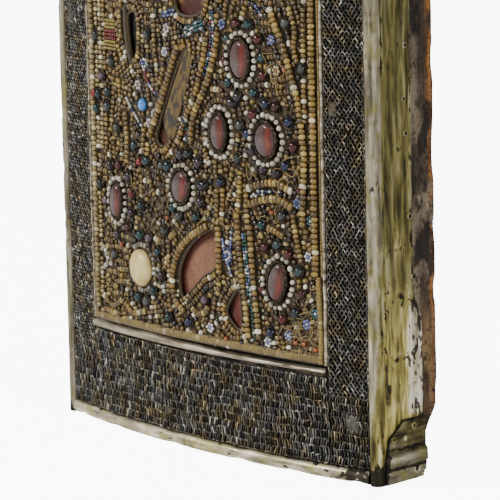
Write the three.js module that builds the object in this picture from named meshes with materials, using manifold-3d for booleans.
import * as THREE from 'three';
import { mergeVertices } from 'three/addons/utils/BufferGeometryUtils.js';
import Module from 'manifold-3d';

// An old icon panel, standing upright on its underside, in millimetres.
// A place on its front is written flat, as (s, depth, z): s runs round the bow from the middle,
// depth runs into the panel from the front, and z runs up. The function bow turns it into space.

// Panel
const PANEL_WIDTH = 270;
const PANEL_HEIGHT = 340;
const PANEL_DEPTH = 46;
const BOW_RADIUS = 660;
const CLEARANCE = 0.3;

// Border and rim
const BORDER_SIDE = 34.5;
const BORDER_END = 52;
const RIM_WIDTH = 6.8;
const RIM_RADIUS = 3.4;
const RIM_PROUD = 2;
const RIM_LIP = 1.2;
const RIM_LIP_DROP = 0.3;
const SHEET = 0.8;
const SIDE_WRAP = 27.5;
const SIDE_WRAP_LOW = 33.5;
const SIDE_WRAP_STEP = 86;
const WRAP_SLOPE = 9;
const END_WRAP = 33;

// Damage to the wood, as the height of each place, its length and how deep it bites
const BROKEN_CORNER = { run: 34, height: 35, dieOut: 3 };
const EDGE_CHIPS = [
  { z: 92, length: 12, bite: 1.4 },
  { z: 160, length: 22, bite: 1.2 },
  { z: 206, length: 14, bite: 0.9 },
  { z: 262, length: 24, bite: 1.4 },
];
const CHIP_RUN = 9;

// Openwork border plates
const FILIGREE_BACK = 1;
const FILIGREE_RELIEF = 0.7;
const FILIGREE_CREST = -0.4;
const FILIGREE_ROW = 8.5;

// Silver strips round the field
const FILLET_SIDE = 4;
const FILLET_END = 5;
const FILLET_PROUD = 1.6;

// Sunk field, with its paint and its cloth cover
const FIELD_SUNK = 2.2;
const GROUND_THICKNESS = 0.9;
const CLOTH_THICKNESS = 1;
const CLOTH_FRONT = 1;
const CLOTH_ROW = 11;
const CLOTH_RELIEF = 0.5;
const BAND_HEIGHT = 4.6;
const BAND_RISE = 1.4;

// Set stones
const GARNET_PROUD = 3.9;
const COLLET_WALL = 1;
const COLLET_RISE = 2.9;
const COLLET_SEAT = 1.2;
const PEARL_RADIUS = 1.2;
const PEARL_WAIST = 0.4;
const PEARLS_IN_RING = 20;
const CREAM_HALF_WIDTH = 9.2;
const CREAM_HALF_HEIGHT = 9.8;
const CREAM_RISE = 5;
const TURQUOISE_HALF_WIDTH = 2.7;
const TURQUOISE_HALF_HEIGHT = 3.3;
const TURQUOISE_RISE = 3.4;

// Strings of beads
const BEAD_HALF_WIDTH = 2;
const BEAD_HALF_RISE = 1.3;
const BEAD_WAIST = 0.5;
const BEAD_PITCH = 9;
const EDGE_ROW_INSET = { left: 5.6, right: 3 };
const EDGE_ROW_LOST = 38;
const HALO_RADIUS = 29;
const HALO_DROP = 24;

// Corner patch
const PATCH_SHEET = 0.8;
const PATCH_DEPTH = 33.5;
const PATCH_HEIGHT = 31;
const PATCH_MARGIN = 2.5;
const PATCH_CHAMFER = 8;
const PATCH_FOLD_HEIGHT = 12;
const PATCH_FOLD_RADIUS = 1.5;
const PATCH_HOLE_RADIUS = 1.3;
const PATCH_HOLE_DROP = 9;

// Fineness of the solids
const ARC_STEP = 27;
const OUTLINE_STEPS = 16;
const STONE_SIDES = 12;
const STRING_SIDES = 4;
const OVERCUT = 4;

// The cover's design is drawn on a field of this size, and fitted to the field that the panel has.
const DRAWN_HALF_WIDTH = 100.5;
const DRAWN_BOTTOM = 52;
const DRAWN_HEIGHT = 236;

const GARNETS = [
  { at: [44.4, 205.2], turn: 0, half: [6.7, 9.6], ring: [10.7, 13.4] },
  { at: [26.7, 167.3], turn: 2, half: [5.4, 9.1], ring: [10.4, 12.9] },
  { at: [62.2, 166], turn: 0, half: [7.2, 8.6], ring: [12, 12.6] },
  { at: [-6.1, 136.4], turn: 12, half: [6.9, 8.2], ring: [10.9, 11.6] },
  { at: [-68.7, 123], turn: 4, half: [5.5, 9.1], ring: [8.8, 12.3] },
  { at: [68.7, 95.4], turn: 14, half: [5.8, 9.8], ring: [10.7, 13] },
  { at: [-66, 258], turn: 0, half: [6.4, 9], ring: [10.2, 12.6] },
  { at: [72, 258], turn: 0, half: [6.4, 9], ring: [10.2, 12.6] },
];
const CREAM_STONE = [-46, 90];
const TURQUOISE_STONE = [-40.6, 176];
const HALO_CENTRE = [3, 246];

const OPENINGS = {
  face: [[-11, 240], [-8, 258], [3, 266], [14, 258], [17, 240], [12, 226.5], [-6, 225.5]],
  sleeve: [[1, 209], [-7, 200], [-16, 185], [-29, 161], [-22, 156], [-15, 166], [-8, 186]],
  slit: [[-54, 222], [-46, 222], [-46, 205], [-50, 199], [-53, 206]],
  robe: [[20, 116], [8, 113], [-4, 104], [-11, 92], [-9, 79], [0, 84], [10, 92], [20, 98]],
  leaf: [[38, 88], [32, 83], [28, 76], [33, 70], [39, 68], [40, 78]],
};

const STRINGS = {
  beads_mantle: [[67, 231], [73, 219], [79, 205], [84, 191], [87, 176], [89, 160], [88, 142], [87, 126]],
  beads_fold_left: [[18, 214], [15, 203], [8, 186], [-2, 170], [-8, 160]],
  beads_fold_right: [[27, 217], [23, 203], [16, 189], [6, 174], [3, 162]],
  beads_sleeve: [[-7, 208], [-13, 197], [-23, 178], [-34, 161]],
  beads_stole_left: [[39, 126], [41, 106], [44, 84], [46, 66]],
  beads_stole_right: [[49, 121], [50, 104], [52, 84], [54, 66]],
  beads_belt_upper: [[49, 141], [59, 144], [69, 145], [79, 142]],
  beads_belt_lower: [[50, 133], [60, 136], [70, 137], [79, 134]],
  beads_hem_left: [[14, 118], [0, 111], [-11, 101], [-16, 89], [-14, 77], [-7, 72]],
  beads_hem_right: [[24, 118], [24, 107], [24, 96]],
};

const halfWidth = PANEL_WIDTH / 2;
const fieldHalfWidth = halfWidth - BORDER_SIDE;
const fieldHeight = PANEL_HEIGHT - 2 * BORDER_END;
const boardFront = FILIGREE_BACK + CLEARANCE;
const boardHalfWidth = halfWidth - SHEET - CLEARANCE;
const boardBottom = SHEET + CLEARANCE;
const clothHalfWidth = fieldHalfWidth - FILLET_SIDE / 2 - CLEARANCE;
const filletBottom = BORDER_END - SHEET;
const clothBottom = filletBottom + FILLET_END + CLEARANCE;
const setDepth = CLOTH_FRONT - CLOTH_RELIEF - CLEARANCE;
const designScale = Math.min(fieldHalfWidth / DRAWN_HALF_WIDTH, fieldHeight / DRAWN_HEIGHT);

const wasm = await Module();
wasm.setup();

function bow(s, depth, z) {
  const angle = s / BOW_RADIUS;
  const radius = BOW_RADIUS - depth;
  return new THREE.Vector3(radius * Math.sin(angle), BOW_RADIUS - radius * Math.cos(angle), z);
}

function bowed(geometry) {
  const places = geometry.attributes.position;
  for (let i = 0; i < places.count; i += 1) {
    const point = bow(places.getX(i), places.getY(i), places.getZ(i));
    places.setXYZ(i, point.x, point.y, point.z);
  }
  return welded(geometry);
}

function welded(geometry) {
  const bare = geometry.clone();
  bare.deleteAttribute('normal');
  bare.deleteAttribute('uv');
  const closed = mergeVertices(bare, 1e-4);
  closed.computeVertexNormals();
  return closed;
}

function toSolid(geometry) {
  const bare = welded(geometry);
  const vertProperties = new Float32Array(bare.attributes.position.array);
  const triVerts = new Uint32Array(bare.index.array);
  return new wasm.Manifold(new wasm.Mesh({ numProp: 3, vertProperties, triVerts }));
}

function fromSolid(solid) {
  const mesh = solid.getMesh();
  const geometry = new THREE.BufferGeometry();
  geometry.setAttribute('position', new THREE.BufferAttribute(mesh.vertProperties, 3));
  geometry.setIndex(new THREE.BufferAttribute(mesh.triVerts, 1));
  geometry.computeVertexNormals();
  return geometry;
}

function cut(geometry, cutters) {
  return fromSolid(cutters.reduce((solid, cutter) => solid.subtract(toSolid(cutter)), toSolid(geometry)));
}

function joined(geometries) {
  const [first, ...others] = geometries.map(toSolid);
  return fromSolid(others.reduce((solid, other) => solid.add(other), first));
}

function arcSteps(length) {
  return Math.max(1, Math.round(length / ARC_STEP));
}

function slab(s, depth, z) {
  const size = [s, depth, z].map(([from, to]) => to - from);
  const geometry = new THREE.BoxGeometry(...size, arcSteps(size[0]), 1, 1);
  geometry.translate(...[s, depth, z].map(([from, to]) => (from + to) / 2));
  return bowed(geometry);
}

function shapeOf(points) {
  return new THREE.Shape(points.map(([x, y]) => new THREE.Vector2(x, y)));
}

// A profile drawn as (depth, z), run round the bow between two places
function sweptRound(profile, from, to) {
  const steps = arcSteps(to - from);
  const settings = { depth: to - from, steps, bevelEnabled: false };
  const geometry = new THREE.ExtrudeGeometry(shapeOf(profile), settings);
  const turned = new THREE.Matrix4().set(0, 0, 1, from, 1, 0, 0, 0, 0, 1, 0, 0, 0, 0, 0, 1);
  return bowed(geometry.applyMatrix4(turned));
}

// A profile drawn as (s, depth), run straight up
function sweptUp(profile, from, to) {
  const geometry = new THREE.ExtrudeGeometry(shapeOf(profile), { depth: to - from, bevelEnabled: false });
  return bowed(geometry.translate(0, 0, from));
}

// The way from the drawn design to the field as it is
function onField([s, z]) {
  const across = (s * fieldHalfWidth) / DRAWN_HALF_WIDTH;
  const up = ((z - DRAWN_BOTTOM) * fieldHeight) / DRAWN_HEIGHT;
  return [across, BORDER_END + up];
}

function makeBoard() {
  const top = PANEL_HEIGHT - boardBottom;
  const plank = slab([-boardHalfWidth, boardHalfWidth], [boardFront, PANEL_DEPTH], [boardBottom, top]);
  const sink = slab(
    [-fieldHalfWidth, fieldHalfWidth],
    [boardFront - OVERCUT, boardFront + FIELD_SUNK],
    [BORDER_END, PANEL_HEIGHT - BORDER_END],
  );
  return cut(plank, [sink, brokenCorner(), ...edgeChips()]);
}

// The lower rear corner on the right is broken away in a slope that dies out along the underside.
function brokenCorner() {
  const { run, height, dieOut } = BROKEN_CORNER;
  const near = SIDE_WRAP_LOW + CLEARANCE;
  const far = PANEL_DEPTH + OVERCUT;
  const middle = (near + PANEL_DEPTH) / 2;
  const outline = [
    [near, -OVERCUT], [far, -OVERCUT], [far, height], [PANEL_DEPTH, height], [middle, height * 0.8],
    [near, height * 0.6],
  ];
  const geometry = new THREE.ExtrudeGeometry(shapeOf(outline), { depth: run, bevelEnabled: false });
  const places = geometry.attributes.position;
  for (let i = 0; i < places.count; i += 1) {
    const along = places.getZ(i);
    const inner = along < run / 2;
    const depth = inner ? Math.max(places.getX(i), PANEL_DEPTH - dieOut) : places.getX(i);
    const z = inner ? Math.min(places.getY(i), boardBottom + dieOut) : places.getY(i);
    places.setXYZ(i, halfWidth + OVERCUT - run + along, depth, z);
  }
  return bowed(geometry);
}

function edgeChips() {
  return EDGE_CHIPS.map(({ z, length, bite }) => {
    const half = length / 2;
    const profile = [
      [PANEL_DEPTH + OVERCUT, z - half - OVERCUT],
      [PANEL_DEPTH + OVERCUT, z + half + OVERCUT],
      [PANEL_DEPTH - bite, z + half * 0.4],
      [PANEL_DEPTH - bite * 0.7, z - half * 0.5],
    ];
    return sweptRound(profile, halfWidth - CHIP_RUN, halfWidth + OVERCUT);
  });
}

function makeGround() {
  const back = boardFront + FIELD_SUNK - CLEARANCE;
  return slab(
    [-fieldHalfWidth + CLEARANCE, fieldHalfWidth - CLEARANCE],
    [back - GROUND_THICKNESS, back],
    [BORDER_END + CLEARANCE, PANEL_HEIGHT - BORDER_END - CLEARANCE],
  );
}

// Rows of wire lie across a border plate as ridges.
function ridgedProfile(bottom, top) {
  const rows = Math.max(2, Math.round((top - bottom) / FILIGREE_ROW));
  const row = (top - bottom) / rows;
  const front = [];
  for (let i = rows; i > 0; i -= 1) {
    front.push([FILIGREE_CREST + FILIGREE_RELIEF, bottom + i * row]);
    front.push([FILIGREE_CREST, bottom + (i - 0.5) * row]);
  }
  front.push([FILIGREE_CREST + FILIGREE_RELIEF, bottom]);
  return [[FILIGREE_BACK, bottom], [FILIGREE_BACK, top], ...front];
}

function makeFiligree() {
  const inner = fieldHalfWidth + FILLET_SIDE / 4;
  const outer = halfWidth - RIM_WIDTH - CLEARANCE;
  const bottom = RIM_WIDTH + CLEARANCE;
  const top = PANEL_HEIGHT - bottom;
  const low = ridgedProfile(bottom, filletBottom - CLEARANCE);
  const high = ridgedProfile(PANEL_HEIGHT - filletBottom + CLEARANCE, top);
  const upright = ridgedProfile(bottom, top);
  return {
    filigree_bottom: sweptRound(low, -inner, inner),
    filigree_top: sweptRound(high, -inner, inner),
    filigree_left: sweptRound(upright, -outer, -inner - CLEARANCE),
    filigree_right: sweptRound(upright, inner + CLEARANCE, outer),
  };
}

// The edge sheet as (distance in from the outside, depth): a round rim, and a flat wrap behind it
function edgeProfile(wrap) {
  const centreDepth = RIM_RADIUS - RIM_PROUD;
  const round = (radius, steps) => Array.from({ length: steps + 1 }, (_, i) => {
    const angle = (Math.PI / 2) * (i / steps);
    return [RIM_RADIUS - radius * Math.cos(angle), centreDepth - radius * Math.sin(angle)];
  });
  const foot = boardFront - CLEARANCE;
  const lip = RIM_WIDTH - RIM_LIP;
  const lipDepth = RIM_LIP_DROP - RIM_PROUD;
  const outside = [[0, wrap], ...round(RIM_RADIUS, 3), [lip, lipDepth], [RIM_WIDTH, foot]];
  const turnedIn = [[RIM_WIDTH - SHEET, foot], [lip - SHEET, lipDepth + SHEET]];
  return [...outside, ...turnedIn, ...round(RIM_RADIUS - SHEET, 2).reverse(), [SHEET, wrap]];
}

function makeEdges() {
  const clear = RIM_WIDTH + CLEARANCE;
  const endProfile = edgeProfile(END_WRAP);
  const bottom = endProfile.map(([inward, depth]) => [depth, inward]);
  const top = endProfile.map(([inward, depth]) => [depth, PANEL_HEIGHT - inward]).reverse();
  const right = edgeProfile(SIDE_WRAP_LOW).map(([inward, depth]) => [halfWidth - inward, depth]);
  const left = edgeProfile(SIDE_WRAP).map(([inward, depth]) => [inward - halfWidth, depth]).reverse();
  return {
    edge_bottom: sweptRound(bottom, clear - halfWidth, halfWidth - clear),
    edge_top: sweptRound(top, clear - halfWidth, halfWidth - clear),
    edge_left: sweptUp(left, 0, PANEL_HEIGHT),
    edge_right: cut(sweptUp(right.reverse(), 0, PANEL_HEIGHT), [rearTrim()]),
  };
}

// Above its lower stretch the right edge sheet is torn back to a narrower wrap.
function rearTrim() {
  const beyond = SIDE_WRAP_LOW + OVERCUT;
  const profile = [
    [beyond, SIDE_WRAP_STEP - WRAP_SLOPE],
    [beyond, PANEL_HEIGHT + OVERCUT],
    [SIDE_WRAP, PANEL_HEIGHT + OVERCUT],
    [SIDE_WRAP, SIDE_WRAP_STEP + WRAP_SLOPE],
    [(SIDE_WRAP + SIDE_WRAP_LOW) / 2, SIDE_WRAP_STEP - WRAP_SLOPE / 2],
  ];
  return sweptRound(profile, halfWidth - OVERCUT, halfWidth + OVERCUT);
}

function filletProfile(width) {
  const back = boardFront - CLEARANCE;
  return [[0, back], [width * 0.1, -FILLET_PROUD * 0.4], [width * 0.35, -FILLET_PROUD],
    [width * 0.65, -FILLET_PROUD], [width * 0.9, -FILLET_PROUD * 0.4], [width, back]];
}

function makeFillets() {
  const outer = fieldHalfWidth + FILLET_SIDE / 4 - CLEARANCE;
  const low = filletProfile(FILLET_END).map(([across, depth]) => [depth, filletBottom + across]);
  const high = low.map(([depth, z]) => [depth, PANEL_HEIGHT - z]);
  const side = filletProfile(FILLET_SIDE * 0.75);
  const from = clothBottom;
  const to = PANEL_HEIGHT - from;
  return {
    fillet_bottom: sweptRound(low, -outer, outer),
    fillet_top: sweptRound(high.reverse(), -outer, outer),
    fillet_left: sweptUp(side.map(([across, depth]) => [across - outer, depth]).reverse(), from, to),
    fillet_right: sweptUp(side.map(([across, depth]) => [outer - across, depth]), from, to),
  };
}

// The cloth bears its beads in rows, which stand as upright ridges.
function makeCloth() {
  const rows = Math.round((2 * clothHalfWidth) / CLOTH_ROW);
  const row = (2 * clothHalfWidth) / rows;
  const front = [];
  for (let i = 0; i < rows; i += 1) {
    front.push([clothHalfWidth - i * row, CLOTH_FRONT]);
    front.push([clothHalfWidth - (i + 0.5) * row, CLOTH_FRONT - CLOTH_RELIEF]);
  }
  front.push([-clothHalfWidth, CLOTH_FRONT]);
  const back = CLOTH_FRONT + CLOTH_THICKNESS;
  const steps = arcSteps(2 * clothHalfWidth);
  const rear = Array.from({ length: steps + 1 }, (_, i) => [
    clothHalfWidth * ((2 * i) / steps - 1), back]);
  const cloth = sweptUp([...rear, ...front], clothBottom, PANEL_HEIGHT - clothBottom);
  return cut(cloth, Object.values(OPENINGS).map(openingCutter));
}

// A thread-wrapped band lies along the cloth's lower and upper ends.
function makeBands() {
  const reach = clothHalfWidth - CLEARANCE;
  const section = [[0, 0], [0.5, 0.12], [1, 0.35], [1, 0.65], [0.5, 0.88], [0, 1]];
  const low = section.map(([rise, up]) => [setDepth - BAND_RISE * rise, clothBottom + BAND_HEIGHT * up]);
  const high = low.map(([depth, z]) => [depth, PANEL_HEIGHT - z]).reverse();
  return {
    cloth_band_bottom: sweptRound(low, -reach, reach),
    cloth_band_top: sweptRound(high, -reach, reach),
  };
}

function openingCutter(points) {
  const placed = points.map(onField).map(([s, z]) => new THREE.Vector3(s, z, 0));
  const curve = new THREE.CatmullRomCurve3(placed, true, 'centripetal');
  const outline = curve.getSpacedPoints(OUTLINE_STEPS).slice(0, -1);
  const shape = new THREE.Shape(outline.map((point) => new THREE.Vector2(point.x, point.y)));
  const reach = CLOTH_THICKNESS + OVERCUT;
  const geometry = new THREE.ExtrudeGeometry(shape, { depth: 2 * reach, bevelEnabled: false });
  const turned = new THREE.Matrix4().set(1, 0, 0, 0, 0, 0, -1, reach, 0, 1, 0, 0, 0, 0, 0, 1);
  return bowed(geometry.applyMatrix4(turned));
}

// A turned form drawn as (radius share, rise), squashed to an oval and stood on the front
function ovalSolid(profile, half, place, turn, baseDepth) {
  const points = profile.map(([share, rise]) => new THREE.Vector2(share, rise)).reverse();
  const geometry = new THREE.LatheGeometry(points, STONE_SIDES);
  const places = geometry.attributes.position;
  const [s, z] = onField(place);
  const angle = THREE.MathUtils.degToRad(turn);
  for (let i = 0; i < places.count; i += 1) {
    const across = places.getX(i) * half[0];
    const up = places.getZ(i) * half[1];
    const turnedAcross = across * Math.cos(angle) - up * Math.sin(angle);
    const turnedUp = across * Math.sin(angle) + up * Math.cos(angle);
    places.setXYZ(i, s + turnedAcross, baseDepth - places.getY(i), z + turnedUp);
  }
  return bowed(geometry);
}

function scaledHalf(halves) {
  return halves.map((half) => half * designScale);
}

function makeGarnet({ at, turn, half }) {
  const base = setDepth - COLLET_SEAT - CLEARANCE;
  const rise = GARNET_PROUD - COLLET_SEAT - CLEARANCE;
  const profile = [[0, 0], [0.94, 0], [1, rise * 0.35], [0.93, rise * 0.6], [0.58, rise], [0, rise]];
  return ovalSolid(profile, scaledHalf(half), at, turn, base);
}

function makeCollet({ at, turn, half }) {
  const stone = scaledHalf(half);
  const [wide, high] = stone.map((size) => size + CLEARANCE + COLLET_WALL);
  const inner = Math.max((stone[0] + CLEARANCE) / wide, (stone[1] + CLEARANCE) / high);
  const outside = [[0, 0], [1, 0], [0.97, COLLET_RISE]];
  const inside = [[inner, COLLET_RISE], [inner, COLLET_SEAT], [0, COLLET_SEAT]];
  const profile = [...outside, ...inside];
  return ovalSolid(profile, [wide, high], at, turn, setDepth);
}

// A closed form strung along a line of (s, depth, z) places, thick and thin by turns
function strungSolid(centres, halves, closed) {
  const count = centres.length;
  const positions = [];
  const index = [];
  const out = new THREE.Vector3(0, -1, 0);
  centres.forEach((centre, i) => {
    const before = closed ? centres[(i + count - 1) % count] : centres[Math.max(0, i - 1)];
    const after = closed ? centres[(i + 1) % count] : centres[Math.min(count - 1, i + 1)];
    const along = after.clone().sub(before).normalize();
    const across = new THREE.Vector3().crossVectors(along, out).normalize();
    for (let k = 0; k < STRING_SIDES; k += 1) {
      const angle = (2 * Math.PI * (k + 0.5)) / STRING_SIDES;
      const point = centre.clone();
      point.addScaledVector(across, halves[i][0] * Math.SQRT2 * Math.cos(angle));
      point.addScaledVector(out, halves[i][1] * Math.SQRT2 * Math.sin(angle));
      positions.push(...bow(point.x, point.y, point.z).toArray());
    }
  });
  const last = closed ? count : count - 1;
  for (let i = 0; i < last; i += 1) {
    for (let k = 0; k < STRING_SIDES; k += 1) {
      const a = i * STRING_SIDES + k;
      const b = i * STRING_SIDES + ((k + 1) % STRING_SIDES);
      const c = ((i + 1) % count) * STRING_SIDES + k;
      const d = ((i + 1) % count) * STRING_SIDES + ((k + 1) % STRING_SIDES);
      index.push(a, d, b, a, c, d);
    }
  }
  if (!closed) {
    const end = (count - 1) * STRING_SIDES;
    for (let k = 1; k < STRING_SIDES - 1; k += 1) {
      index.push(0, k, k + 1);
      index.push(end, end + k + 1, end + k);
    }
  }
  const geometry = new THREE.BufferGeometry();
  geometry.setAttribute('position', new THREE.Float32BufferAttribute(positions, 3));
  geometry.setIndex(index);
  geometry.computeVertexNormals();
  return geometry;
}

function beadHalves(centres, halfWide, halfHigh, waist) {
  return centres.map((_, i) => {
    const share = i % 2 === 1 ? 1 : waist;
    return [halfWide * share, halfHigh * share];
  });
}

// The pearls stand round the collet, and keep clear of it where the drawing is made smaller.
function makePearls({ at, turn, half, ring }) {
  const [s, z] = onField(at);
  const outside = scaledHalf(half).map((size) => size + 2 * CLEARANCE + COLLET_WALL + PEARL_RADIUS);
  const ringHalf = scaledHalf(ring).map((size, i) => Math.max(size, outside[i]));
  const angle = THREE.MathUtils.degToRad(turn);
  const curve = new THREE.EllipseCurve(s, z, ringHalf[0], ringHalf[1], 0, 2 * Math.PI, false, 0);
  const centre = new THREE.Vector2(s, z);
  const line = curve.getSpacedPoints(2 * PEARLS_IN_RING).slice(0, -1);
  const depth = setDepth - PEARL_RADIUS;
  const centres = line.map((point) => {
    const turned = point.rotateAround(centre, angle);
    return new THREE.Vector3(turned.x, depth, turned.y);
  });
  return strungSolid(centres, beadHalves(centres, PEARL_RADIUS, PEARL_RADIUS, PEARL_WAIST), true);
}

function strung(points) {
  const depth = setDepth - BEAD_HALF_RISE;
  const placed = points.map(([s, z]) => new THREE.Vector3(s, depth, z));
  const curve = new THREE.CatmullRomCurve3(placed, false, 'centripetal');
  const beads = Math.max(2, Math.round(curve.getLength() / BEAD_PITCH));
  const centres = curve.getSpacedPoints(2 * beads);
  return strungSolid(centres, beadHalves(centres, BEAD_HALF_WIDTH, BEAD_HALF_RISE, BEAD_WAIST), false);
}

// A row of beads runs up each side of the cloth. The right one has lost its lower beads.
function makeEdgeRows() {
  const left = EDGE_ROW_INSET.left - clothHalfWidth;
  const right = clothHalfWidth - EDGE_ROW_INSET.right;
  const from = clothBottom + BAND_HEIGHT + BEAD_HALF_WIDTH;
  const to = PANEL_HEIGHT - from;
  return {
    beads_edge_left: strung([[left, from], [left, to]]),
    beads_edge_right: strung([[right, from + EDGE_ROW_LOST], [right, to]]),
  };
}

// The halo rises from one shoulder over the head to the other.
function makeHalo() {
  const [s, z] = onField(HALO_CENTRE);
  const radius = HALO_RADIUS * designScale;
  const depth = setDepth - BEAD_HALF_RISE;
  const sweep = Math.PI + 2 * THREE.MathUtils.degToRad(HALO_DROP);
  const beads = Math.round((sweep * radius) / BEAD_PITCH);
  const centres = Array.from({ length: 2 * beads + 1 }, (_, i) => {
    const angle = (sweep * i) / (2 * beads) - THREE.MathUtils.degToRad(HALO_DROP);
    return new THREE.Vector3(s + radius * Math.cos(angle), depth, z + radius * Math.sin(angle));
  });
  return strungSolid(centres, beadHalves(centres, BEAD_HALF_WIDTH, BEAD_HALF_RISE, BEAD_WAIST), false);
}

// A sheet nailed over the side's lower front, with a hole and a rolled fold across it
function makePatch() {
  const outline = [
    [PATCH_MARGIN, CLEARANCE],
    [PATCH_DEPTH - PATCH_CHAMFER, CLEARANCE],
    [PATCH_DEPTH, PATCH_CHAMFER / 2],
    [PATCH_DEPTH, PATCH_HEIGHT],
    [PATCH_DEPTH / 2, PATCH_HEIGHT],
    [PATCH_MARGIN * 2, PATCH_HEIGHT - PATCH_CHAMFER],
    [PATCH_MARGIN, PATCH_FOLD_HEIGHT + PATCH_FOLD_RADIUS],
  ];
  const shape = shapeOf(outline);
  const hole = new THREE.Path();
  hole.absarc(PATCH_DEPTH / 2, PATCH_HEIGHT - PATCH_HOLE_DROP, PATCH_HOLE_RADIUS, 0, 2 * Math.PI, true);
  shape.holes.push(hole);
  const settings = { depth: PATCH_SHEET, bevelEnabled: false, curveSegments: 8 };
  const sheet = new THREE.ExtrudeGeometry(shape, settings);
  const start = halfWidth + CLEARANCE;
  const turned = new THREE.Matrix4().set(0, 0, 1, start, 1, 0, 0, 0, 0, 1, 0, 0, 0, 0, 0, 1);
  sheet.applyMatrix4(turned);
  const foldLength = PATCH_DEPTH - 2 * PATCH_MARGIN;
  const fold = new THREE.CylinderGeometry(PATCH_FOLD_RADIUS, PATCH_FOLD_RADIUS, foldLength, 8);
  fold.translate(start + PATCH_FOLD_RADIUS, PATCH_DEPTH / 2, PATCH_FOLD_HEIGHT);
  return joined([bowed(sheet), bowed(fold)]);
}

function makeOddStones() {
  const section = [[0, 0], [0.96, 0], [1, 0.3], [0.8, 0.75], [0.4, 0.97], [0, 1]];
  const dome = (rise) => section.map(([share, up]) => [share, up * rise]);
  const cream = [CREAM_HALF_WIDTH, CREAM_HALF_HEIGHT].map((half) => half * designScale);
  const blue = [TURQUOISE_HALF_WIDTH, TURQUOISE_HALF_HEIGHT].map((half) => half * designScale);
  return {
    cream_stone: ovalSolid(dome(CREAM_RISE), cream, CREAM_STONE, -16, setDepth),
    turquoise_stone: ovalSolid(dome(TURQUOISE_RISE), blue, TURQUOISE_STONE, 0, setDepth),
  };
}

const MATERIALS = {
  wood: { color: 0x5b4637, roughness: 0.9, metalness: 0 },
  paint: { color: 0x7c4630, roughness: 0.5, metalness: 0 },
  filigree: { color: 0x3a3833, roughness: 0.5, metalness: 0.8 },
  gilt: { color: 0x8c8650, roughness: 0.35, metalness: 1 },
  silver: { color: 0xb8b4a6, roughness: 0.35, metalness: 1 },
  cloth: { color: 0x7d6738, roughness: 0.9, metalness: 0 },
  garnet: { color: 0x8e3a34, roughness: 0.15, metalness: 0 },
  collet: { color: 0x2b2622, roughness: 0.5, metalness: 0.7 },
  pearl: { color: 0xdad5c6, roughness: 0.3, metalness: 0 },
  cream: { color: 0xd9cfa0, roughness: 0.3, metalness: 0 },
  turquoise: { color: 0x5aa0ea, roughness: 0.3, metalness: 0 },
  bead: { color: 0x8a7748, roughness: 0.35, metalness: 0 },
};

const group = new THREE.Group();

function add(name, geometry, finish) {
  const mesh = new THREE.Mesh(geometry, new THREE.MeshStandardMaterial(MATERIALS[finish]));
  mesh.name = name;
  group.add(mesh);
}

function addAll(pieces, finish) {
  Object.entries(pieces).forEach(([name, geometry]) => add(name, geometry, finish));
}

add('board', makeBoard(), 'wood');
add('painted_ground', makeGround(), 'paint');
addAll(makeFiligree(), 'filigree');
addAll(makeEdges(), 'gilt');
add('corner_patch', makePatch(), 'gilt');
addAll(makeFillets(), 'silver');
add('bead_cloth', makeCloth(), 'cloth');
addAll(makeBands(), 'cloth');
GARNETS.forEach((garnet, i) => {
  add(`garnet_${i + 1}`, makeGarnet(garnet), 'garnet');
  add(`collet_${i + 1}`, makeCollet(garnet), 'collet');
  add(`pearls_${i + 1}`, makePearls(garnet), 'pearl');
});
const oddStones = makeOddStones();
add('cream_stone', oddStones.cream_stone, 'cream');
add('turquoise_stone', oddStones.turquoise_stone, 'turquoise');
Object.entries(STRINGS).forEach(([name, points]) => add(name, strung(points.map(onField)), 'bead'));
addAll(makeEdgeRows(), 'bead');
add('beads_halo', makeHalo(), 'bead');

const box = new THREE.Box3().setFromObject(group);
group.position.set(-(box.min.x + box.max.x) / 2, -(box.min.y + box.max.y) / 2, -box.min.z);

export default group;
